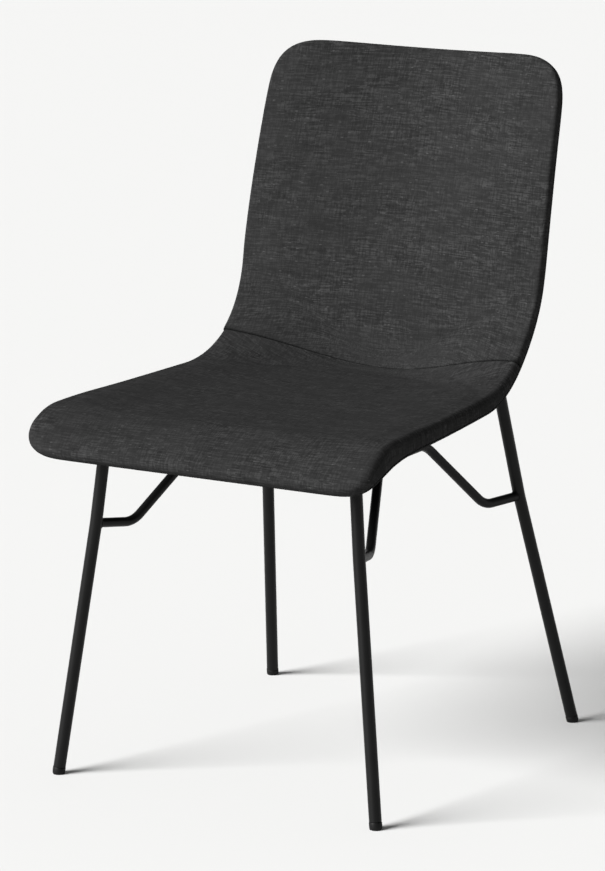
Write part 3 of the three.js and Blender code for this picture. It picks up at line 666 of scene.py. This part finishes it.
def grainedMaterial(name, low, high, grain, roughness, metallic, strength, spread, specular=0.5):
    # a fine grain, in mm, in the gloss and the bump, under a slow drift between two near colours
    made, tree, shader = startMaterial(name, Metallic=metallic)
    shader.inputs["Specular IOR Level"].default_value = specular
    place = addNode(tree, "ShaderNodeTexCoord").outputs["Object"]
    fine = addNode(tree, "ShaderNodeTexNoise", {
        "Vector": place, "Scale": 1000 / grain, "Detail": 3.0, "Roughness": 0.55})
    broad = addNode(tree, "ShaderNodeTexNoise", {"Vector": place, "Scale": 28.0, "Detail": 3.0})
    ramp = addNode(tree, "ShaderNodeValToRGB", {0: broad.outputs[0]})
    ramp.color_ramp.elements[0].position, ramp.color_ramp.elements[1].position = 0.3, 0.7
    ramp.color_ramp.elements[0].color = toLinear(low)
    ramp.color_ramp.elements[1].color = toLinear(high)
    tree.links.new(ramp.outputs[0], shader.inputs["Base Color"])
    gloss = addNode(tree, "ShaderNodeMapRange", {
        0: fine.outputs[0], 3: roughness - spread, 4: roughness + spread})
    tree.links.new(gloss.outputs[0], shader.inputs["Roughness"])
    bump = addNode(tree, "ShaderNodeBump", {
        "Strength": strength, "Distance": 0.0001, "Height": fine.outputs[0]})
    tree.links.new(bump.outputs[0], shader.inputs["Normal"])
    return made


def beechPlywood():
    # rotary-cut beech veneer, bare and sanded: pale brown with fine short flecks
    made, tree, shader = startMaterial("beechPlywood", Roughness=0.6)
    place = addNode(tree, "ShaderNodeTexCoord").outputs["Object"]
    stretch = addNode(tree, "ShaderNodeMapping", {"Vector": place, "Scale": (40, 400, 400)})
    grain = addNode(tree, "ShaderNodeTexNoise", {"Vector": stretch.outputs[0], "Scale": 1.0})
    ramp = addNode(tree, "ShaderNodeValToRGB", {0: grain.outputs[0]})
    ramp.color_ramp.elements[0].color = toLinear("#b08a5c")
    ramp.color_ramp.elements[1].color = toLinear("#d6b78a")
    tree.links.new(ramp.outputs[0], shader.inputs["Base Color"])
    return made


finish = dict(
    linen=linenWeave(),
    # matt black epoxy-polyester powder coat over steel: a fine orange-peel grain, soft highlights
    powder=grainedMaterial(
        "blackPowderCoat", "#0a0a0a", "#0e0e0e", 0.7, 0.4, 0.0, 0.25, 0.06, 0.14),
    # moulded polyethylene glides and plugs: a duller, waxier black
    glide=grainedMaterial(
        "blackPolyethylene", "#090909", "#0d0d0d", 1.6, 0.5, 0.0, 0.12, 0.05, 0.14),
    # zinc-plated steel fasteners: bluish grey, slightly clouded
    zinc=grainedMaterial("zincPlatedSteel", "#8d9298", "#b4b9bd", 0.4, 0.34, 1.0, 0.1, 0.08),
    # bonded polyester sewing thread, a little darker than the cloth
    thread=grainedMaterial("polyesterThread", "#141415", "#1d1d1f", 0.3, 0.7, 0.0, 0.3, 0.05),
    beech=beechPlywood(),
)


def giveFinish(piece, key):
    piece.data.materials.clear()
    piece.data.materials.append(finish[key])


# the upholstery

def refine(piece):
    split = piece.modifiers.new("refine", "SUBSURF")
    split.levels = 1
    split.render_levels = 1


def makeUpholstery():
    seatPanel, seatHold = frontPanel("seatPanel", "front", "seam", panel["seatRoll"], "last")
    backPanel, backHold = frontPanel("backPanel", "seam", "top", panel["backRoll"], "first")
    rear = rearPanel()
    swellPad(seatPanel, *seatHold)
    swellPad(backPanel, *backHold)
    for piece in (seatPanel, backPanel, rear):
        refine(piece)
        giveFinish(piece, "linen")
        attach(piece, "root")
    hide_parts("seat_cover", "seat_foam")
    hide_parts("back_cover", "back_foam")
    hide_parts("rear_cover", "rear_wadding")
    print("upholstery made")


makeUpholstery()


# sewing thread, laid along the seams by Geometry Nodes

def stitchTree():
    tree = bpy.data.node_groups.new("stitchTree", "GeometryNodeTree")
    face = tree.interface
    face.new_socket("Geometry", in_out="INPUT", socket_type="NodeSocketGeometry")
    for name, value in (("Pitch", 0.004), ("Stitch Length", 0.003), ("Thread", 0.0006)):
        face.new_socket(name, in_out="INPUT", socket_type="NodeSocketFloat").default_value = value
    face.new_socket("Material", in_out="INPUT", socket_type="NodeSocketMaterial")
    face.new_socket("Geometry", in_out="OUTPUT", socket_type="NodeSocketGeometry")
    given = addNode(tree, "NodeGroupInput").outputs
    spaced = addNode(tree, "GeometryNodeResampleCurve", {
        "Curve": given["Geometry"], "Length": given["Pitch"]}, mode="LENGTH")
    bead = addNode(tree, "GeometryNodeMeshUVSphere", {"Segments": 6, "Rings": 5, "Radius": 0.5})
    size = addNode(tree, "ShaderNodeCombineXYZ", {
        0: given["Stitch Length"], 1: given["Thread"], 2: given["Thread"]})
    jitter = addNode(tree, "FunctionNodeRandomValue", {
        0: (0.85, 0.9, 0.9), 1: (1.1, 1.1, 1.1), "Seed": 11}, data_type="FLOAT_VECTOR")
    sized = addNode(tree, "ShaderNodeVectorMath", {
        0: size.outputs[0], 1: jitter.outputs[0]}, operation="MULTIPLY")
    tangent = addNode(tree, "GeometryNodeInputTangent")
    turned = addNode(tree, "FunctionNodeAlignRotationToVector", {
        "Vector": tangent.outputs[0]}, axis="X")
    laid = addNode(tree, "GeometryNodeInstanceOnPoints", {
        "Points": spaced.outputs[0], "Instance": bead.outputs[0],
        "Rotation": turned.outputs[0], "Scale": sized.outputs[0]})
    real = addNode(tree, "GeometryNodeRealizeInstances", {0: laid.outputs[0]})
    shaded = addNode(tree, "GeometryNodeSetShadeSmooth", {"Geometry": real.outputs[0]})
    named = addNode(tree, "GeometryNodeSetMaterial", {
        "Geometry": shaded.outputs[0], "Material": given["Material"]})
    addNode(tree, "NodeGroupOutput", {0: named.outputs[0]})
    return tree


def setInputs(modifier, values):
    ids = {item.name: item.identifier for item in modifier.node_group.interface.items_tree
           if item.item_type == "SOCKET" and item.in_out == "INPUT"}
    for name, value in values.items():
        modifier[ids[name]] = value


def bakeNodes(name, source, tree, values):
    modifier = source.modifiers.new("build", "NODES")
    modifier.node_group = tree
    setInputs(modifier, values)
    seen = source.evaluated_get(bpy.context.evaluated_depsgraph_get())
    mesh = bpy.data.meshes.new_from_object(seen)
    mesh.name = name
    made = bpy.data.objects.new(name, mesh)
    bpy.context.scene.collection.objects.link(made)
    source.modifiers.remove(modifier)
    bpy.data.objects.remove(source)
    return made


def lineObject(name, points, closed=False):
    data = bpy.data.curves.new(name, "CURVE")
    data.dimensions = "3D"
    spline = data.splines.new("POLY")
    spline.points.add(len(points) - 1)
    spline.points.foreach_set("co", np.c_[points, np.ones(len(points))].ravel())
    spline.use_cyclic_u = closed
    made = bpy.data.objects.new(name, data)
    bpy.context.scene.collection.objects.link(made)
    return made


# metres for the thread, mm for its line
stitch = dict(
    pitch=0.0042, length=0.0034, thread=0.0006, crossPoints=120, crossInset=4, crossDepth=0.1,
    edgeColumns=60, edgeInset=1.6, edgeRise=4.7,
)


def makeStitches():
    tree = stitchTree()
    values = {"Pitch": stitch["pitch"], "Stitch Length": stitch["length"],
              "Thread": stitch["thread"], "Material": finish["thread"]}
    count = stitch["crossPoints"]
    x = np.linspace(-1, 1, count) * (halfWidth(np.array([seam]))[0] - stitch["crossInset"])
    s = np.full(count, seam)
    line = lineObject("crossLine", surfacePoints(x, s, seamDip(x, s) + stitch["crossDepth"]))
    cross = bakeNodes("crossSeamStitches", line, tree, values)
    rows = panelRows("front", "top")
    m, n = stitch["edgeColumns"], len(rows)
    x, s = flatPlace(rows, np.linspace(-1, 1, m + 1)[None, :], stitch["edgeInset"])
    path = [(0, j) for j in range(m + 1)] + [(i, m) for i in range(1, n)]
    path += [(n - 1, j) for j in range(m - 1, -1, -1)] + [(i, 0) for i in range(n - 2, 0, -1)]
    picks = tuple(np.array(path).T)
    x, s = x[picks], s[picks]
    level = underside(x, s) - stitch["edgeRise"]
    line = lineObject("edgeLine", surfacePoints(x, s, level), True)
    edge = bakeNodes("edgeSeamStitches", line, tree, values)
    for piece in (cross, edge):
        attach(piece, "root")
    print("seams stitched")


makeStitches()


# the frame's tubes, swept by Geometry Nodes

tubes = dict(
    legRadius=7.5, footSpread=220.5, footRun=513.5, kneeSpread=181, frontKnee=(29, 312),
    rearKnee=(434.5, 305.5), frontLean=(-0.1, 0.079), rearLean=(-0.102, -0.223), capHead=9,
    legBend=120, braceRadius=5.75, braceBend=30, rodReach=0.55, sides=40,
    braceFoot=(164, 85, 374, 304), braceTop=(123.5, 181, 293.5),
)
# radii of the weld beads and how far the plates' beads stand off, in metres
weld = dict(plate=0.0011, brace=0.0009, standOff=0.0009)
# the foot cap's half section: radius, and height above the foot's middle
capSole = [
    (0, -2.2), (3, -2.2), (5, -2), (6.4, -1.1), (7.2, 0.3), (7.6, 1.9), (7.75, 3.4), (7.8, 5),
]


def tubeTree():
    tree = bpy.data.node_groups.new("tubeTree", "GeometryNodeTree")
    face = tree.interface
    face.new_socket("Geometry", in_out="INPUT", socket_type="NodeSocketGeometry")
    face.new_socket("Radius", in_out="INPUT", socket_type="NodeSocketFloat")
    face.new_socket("Sides", in_out="INPUT", socket_type="NodeSocketInt")
    face.new_socket("Material", in_out="INPUT", socket_type="NodeSocketMaterial")
    face.new_socket("Geometry", in_out="OUTPUT", socket_type="NodeSocketGeometry")
    given = addNode(tree, "NodeGroupInput").outputs
    section = addNode(tree, "GeometryNodeCurvePrimitiveCircle", {
        "Resolution": given["Sides"], "Radius": given["Radius"]})
    swept = addNode(tree, "GeometryNodeCurveToMesh", {
        0: given["Geometry"], "Profile Curve": section.outputs[0], "Fill Caps": True})
    real = addNode(tree, "GeometryNodeRealizeInstances", {0: swept.outputs[0]})
    named = addNode(tree, "GeometryNodeSetMaterial", {
        "Geometry": real.outputs[0], "Material": given["Material"]})
    addNode(tree, "NodeGroupOutput", {0: named.outputs[0]})
    return tree


def bentPath(corners, radius, steps=10):
    # straight runs from corner to corner, with an arc of the given radius at each bend
    places = [np.array(corners[0], float)]
    for before, here, after in zip(corners, corners[1:], corners[2:]):
        here = np.array(here, float)
        back = np.array(before) - here
        ahead = np.array(after) - here
        back, ahead = back / np.linalg.norm(back), ahead / np.linalg.norm(ahead)
        half = math.acos(np.clip(back @ ahead, -1, 1)) / 2
        middle = back + ahead
        centre = here + middle / np.linalg.norm(middle) * radius / math.sin(half)
        first = here + back * radius / math.tan(half) - centre
        axis = Vector(np.cross(ahead, back)).normalized()
        for k in range(steps + 1):
            spoke = Matrix.Rotation((math.pi - 2 * half) * k / steps, 3, axis) @ Vector(first)
            places.append(centre + np.array(spoke))
    places.append(np.array(corners[-1], float))
    return np.array(places)


def toFrame(places):
    return np.asarray(places, float) * mm + np.array([0, footLineY, 0])


def shadeTube(piece):
    # round walls smooth, flat ends flat
    for polygon in piece.data.polygons:
        polygon.use_smooth = len(polygon.vertices) <= 4
    faceOutwards(piece)


def sweepBead(name, loop, radius, seed):
    # a closed weld bead along a loop of places, with the ripples of its pools
    count, ring = len(loop), 10
    ahead = np.roll(loop, -1, 0) - np.roll(loop, 1, 0)
    ahead = ahead / np.linalg.norm(ahead, axis=1, keepdims=True)
    out = loop - loop.mean(0)
    out = out - ahead * np.sum(out * ahead, 1, keepdims=True)
    out = out / np.linalg.norm(out, axis=1, keepdims=True)
    side = np.cross(ahead, out)
    walk = np.arange(count) / count * 2 * math.pi
    swing = radius * (1 + 0.1 * np.sin(walk * 13) + 0.05 * np.sin(walk * 5 + seed))
    points, faces = [], []
    for k in range(ring):
        a = 2 * math.pi * k / ring
        points.append(loop + (out * math.cos(a) + side * math.sin(a)) * swing[:, None])
    for k in range(ring):
        for i in range(count):
            j, m = (i + 1) % count, (k + 1) % ring
            faces.append((k * count + i, k * count + j, m * count + j, m * count + i))
    piece = meshObject(name, np.concatenate(points), faces)
    faceOutwards(piece)
    return piece


def plateFace(corner):
    # lower face of a leg plate: a point on it and its upward normal
    places = np.array([v.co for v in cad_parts["leg_plate_" + corner].data.vertices])
    middle = (places.max(0) + places.min(0)) / 2
    normal = np.linalg.svd(places - places.mean(0), full_matrices=False)[2][2]
    normal = normal * np.sign(normal[2])
    return middle + normal * ((places - middle) @ normal).min(), normal


def ringAround(centre, direction, radius, count=48):
    direction = direction / np.linalg.norm(direction)
    u = np.cross(direction, [0, 0, 1.0] if abs(direction[2]) < 0.9 else [1.0, 0, 0])
    u = u / np.linalg.norm(u)
    v = np.cross(direction, u)
    a = np.arange(count) / count * 2 * math.pi
    return centre + radius * (np.outer(np.cos(a), u) + np.outer(np.sin(a), v))


def legFrame(side, rear):
    # a leg's foot, its knee, and the direction it takes above the knee
    kneeY, kneeZ = tubes["rearKnee"] if rear else tubes["frontKnee"]
    lean = tubes["rearLean"] if rear else tubes["frontLean"]
    foot = toFrame((side * tubes["footSpread"], tubes["footRun"] if rear else 0, 0))
    knee = toFrame((side * tubes["kneeSpread"], kneeY, kneeZ))
    up = np.array([side * lean[0], lean[1], 1.0])
    return foot, knee, up / np.linalg.norm(up)


def makeLeg(tree, corner, side, rear):
    foot, knee, up = legFrame(side, rear)
    face, normal = plateFace(corner)
    low = (knee - foot) / np.linalg.norm(knee - foot)
    reach = ((face - knee) @ normal) / (up @ normal)
    start, end = foot + low * (tubes["capHead"] + 0.3) * mm, knee + up * (reach - 0.0003)
    path = bentPath([start, knee, end], tubes["legBend"] * mm)
    leg = bakeNodes("leg_" + corner + "_tube", lineObject("legLine", path), tree, {
        "Radius": tubes["legRadius"] * mm, "Sides": tubes["sides"], "Material": finish["powder"]})
    for vertex in leg.data.vertices:  # the top end is mitred to its plate
        place = np.array(vertex.co)
        if np.linalg.norm(place - end) < tubes["legRadius"] * mm * 1.05:
            vertex.co = place + up * (((face - place) @ normal) / (up @ normal) - 0.0003)
    shadeTube(leg)
    loop = ringAround(end, up, (tubes["legRadius"] + 0.5) * mm)
    slide = ((face - loop) @ normal) / (up @ normal)
    loop = loop + up * slide[:, None] - normal * weld["standOff"]
    bead = sweepBead("weld_" + corner, loop, weld["plate"], side)
    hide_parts("leg_" + corner)
    return [leg, bead]


def makeFootCap(corner, side, rear):
    foot, knee, _ = legFrame(side, rear)
    axis = (knee - foot) / np.linalg.norm(knee - foot)
    head = tubes["capHead"]
    profile = capSole + [
        (7.8, head - 1.2), (7.65, head - 0.5), (7.2, head - 0.1), (6.6, head),
        (5.6, head), (5.6, head + 16), (5.0, head + 18), (0, head + 18),
    ]
    count = 40
    points, faces = [], []
    for r, y in profile:
        points.append(ringAround(foot + axis * y * mm, axis, max(r, 0.001) * mm, count))
    for k in range(len(profile) - 1):
        for i in range(count):
            j = (i + 1) % count
            a, b = k * count, (k + 1) * count
            faces.append((a + i, a + j, b + j, b + i))
    places = np.concatenate(points)
    places[:, 2] = np.maximum(places[:, 2], 0)  # the sole is cut level with the floor
    cap = meshObject("footCap_" + corner, places, faces)
    work = bmesh.new()
    work.from_mesh(cap.data)
    bmesh.ops.remove_doubles(work, verts=work.verts, dist=5e-6)
    bmesh.ops.recalc_face_normals(work, faces=work.faces)
    work.to_mesh(cap.data)
    work.free()
    giveFinish(cap, "glide")
    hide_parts("foot_cap_" + corner)
    return cap


def onLeg(place, direction, point, axis, radius):
    # how far from place along direction the leg's round wall is met
    w = place - point
    w = w - axis * (w @ axis)
    d = direction - axis * (direction @ axis)
    a, b, c = d @ d, w @ d, w @ w - radius * radius
    return (-b - math.sqrt(max(0, b * b - a * c))) / a


def makeBrace(tree, side, name):
    half, frontY, rearY, height = tubes["braceFoot"]
    topHalf, topFront, topRear = tubes["braceTop"]
    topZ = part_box("brace_" + name)[1].z / mm - tubes["braceRadius"]
    frontKnee = (side * tubes["kneeSpread"], *tubes["frontKnee"])
    rearKnee = (side * tubes["kneeSpread"], *tubes["rearKnee"])
    corners = [
        frontKnee, (side * half, frontY, height), (side * topHalf, topFront, topZ),
        (side * topHalf, topRear, topZ), (side * half, rearY, height), rearKnee,
    ]
    path = bentPath([tuple(toFrame(c)) for c in corners], tubes["braceBend"] * mm)
    beads = []
    for end, rear in ((0, False), (-1, True)):
        inner = path[1] if end == 0 else path[-2]
        towards = path[end] - inner
        towards = towards / np.linalg.norm(towards)
        foot, knee, _ = legFrame(side, rear)
        axis = (knee - foot) / np.linalg.norm(knee - foot)
        radius = tubes["braceRadius"] * mm
        loop = ringAround(inner, towards, radius + 0.0002)
        wall = tubes["legRadius"] * mm
        loop = np.array([p + towards * onLeg(p, towards, knee, axis, wall + 0.0003) for p in loop])
        label = f"weld_brace_{name}_{'rear' if rear else 'front'}"
        beads.append(sweepBead(label, loop, weld["brace"], 2 + side))
        path[end] = path[end] - towards * wall * tubes["rodReach"]
    brace = bakeNodes("brace_" + name + "_rod", lineObject("braceLine", path), tree, {
        "Radius": tubes["braceRadius"] * mm, "Sides": tubes["sides"], "Material": finish["powder"]})
    shadeTube(brace)
    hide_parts("brace_" + name)
    return [brace, *beads]


def makeTubes():
    tree = tubeTree()
    pieces = []
    for corner, side, rear in (
        ("front_left", -1, False), ("front_right", 1, False),
        ("rear_left", -1, True), ("rear_right", 1, True),
    ):
        pieces += makeLeg(tree, corner, side, rear)
        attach(makeFootCap(corner, side, rear), "root")
    pieces += makeBrace(tree, -1, "left") + makeBrace(tree, 1, "right")
    for piece in pieces:
        giveFinish(piece, "powder")
        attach(piece, "root")
    print("frame swept")


makeTubes()


# solid parts kept from the frame: edges eased and finishes given

def easeEdges(node, width):
    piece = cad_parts[node]
    merge = piece.modifiers.new("weld", "WELD")
    merge.merge_threshold = 1e-5
    ease = piece.modifiers.new("ease", "BEVEL")
    ease.width = width
    ease.segments = 2
    ease.limit_method = "ANGLE"
    ease.angle_limit = math.radians(50)


# start of the name, finish, slot, and width of the eased edge in mm; the first match counts
keptFinish = [
    ("leg_plate", "powder", "powder_coated_steel", 0.5),
    ("rail_cap", "glide", "black_plastic", 0.5),
    ("rail_", "powder", "powder_coated_steel", 1.2),
    ("seat_spacer", "glide", "black_plastic", 0.5),
    ("seat_washer", "zinc", "zinc_plated_steel", 0.25),
    ("tee_nut", "zinc", "zinc_plated_steel", 0.2),
    ("plywood", "beech", "plywood", 0),
    ("seat_bolt", "zinc", "zinc_plated_steel", 0.3),
    ("plate_screw", "zinc", "zinc_plated_steel", 0.3),
]
for node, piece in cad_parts.items():
    for start, key, slotName, width in keptFinish:
        if node.startswith(start):
            giveFinish(piece, key)
            if width:
                easeEdges(node, width * mm)
            break
print("kept parts finished")


# floor, light and air

studio = dict(
    floor="#d7d7d6", horizon="#fafafa", above="#6a6a6a", skyStrength=0.95, skyFade=(0.1, 0.32),
    reach=80, sun=dict(azimuth=-34, height=28, strength=8.0, softness=34),
)


def makeStudio():
    reach = studio["reach"]
    floor = meshObject("floor", [
        (-reach, -reach, 0), (reach, -reach, 0), (reach, reach, 0), (-reach, reach, 0),
    ], [(0, 1, 2, 3)], False)
    paint, _, shader = startMaterial("paleFloor", Roughness=0.9)
    shader.inputs["Base Color"].default_value = toLinear(studio["floor"])
    shader.inputs["Specular IOR Level"].default_value = 0.1
    floor.data.materials.append(paint)
    world = bpy.data.worlds.new("studioAir")
    world.use_nodes = True
    air = world.node_tree
    around = addNode(air, "ShaderNodeTexCoord").outputs["Generated"]
    way = addNode(air, "ShaderNodeSeparateXYZ", {0: around})
    low, high = studio["skyFade"]
    fade = addNode(air, "ShaderNodeMapRange", {
        0: way.outputs["Z"], 1: low, 2: high}, interpolation_type="SMOOTHSTEP")
    sky = addNode(air, "ShaderNodeMix", {
        0: fade.outputs[0], 6: toLinear(studio["horizon"]), 7: toLinear(studio["above"]),
    }, data_type="RGBA")
    air.links.new(sky.outputs[2], air.nodes["Background"].inputs[0])
    air.nodes["Background"].inputs[1].default_value = studio["skyStrength"]
    bpy.context.scene.world = world
    data = bpy.data.lights.new("key", "SUN")
    data.energy = studio["sun"]["strength"]
    data.angle = math.radians(studio["sun"]["softness"])
    key = bpy.data.objects.new("key", data)
    bpy.context.scene.collection.objects.link(key)
    turn, height = (math.radians(studio["sun"][k]) for k in ("azimuth", "height"))
    towards = Vector((
        math.sin(turn) * math.cos(height), -math.cos(turn) * math.cos(height), math.sin(height)))
    key.rotation_mode = "QUATERNION"
    key.rotation_quaternion = (-towards).to_track_quat("-Z", "Y")
    key.location = towards * 4
    bpy.context.scene.view_settings.view_transform = "Standard"


makeStudio()
print("studio lit")
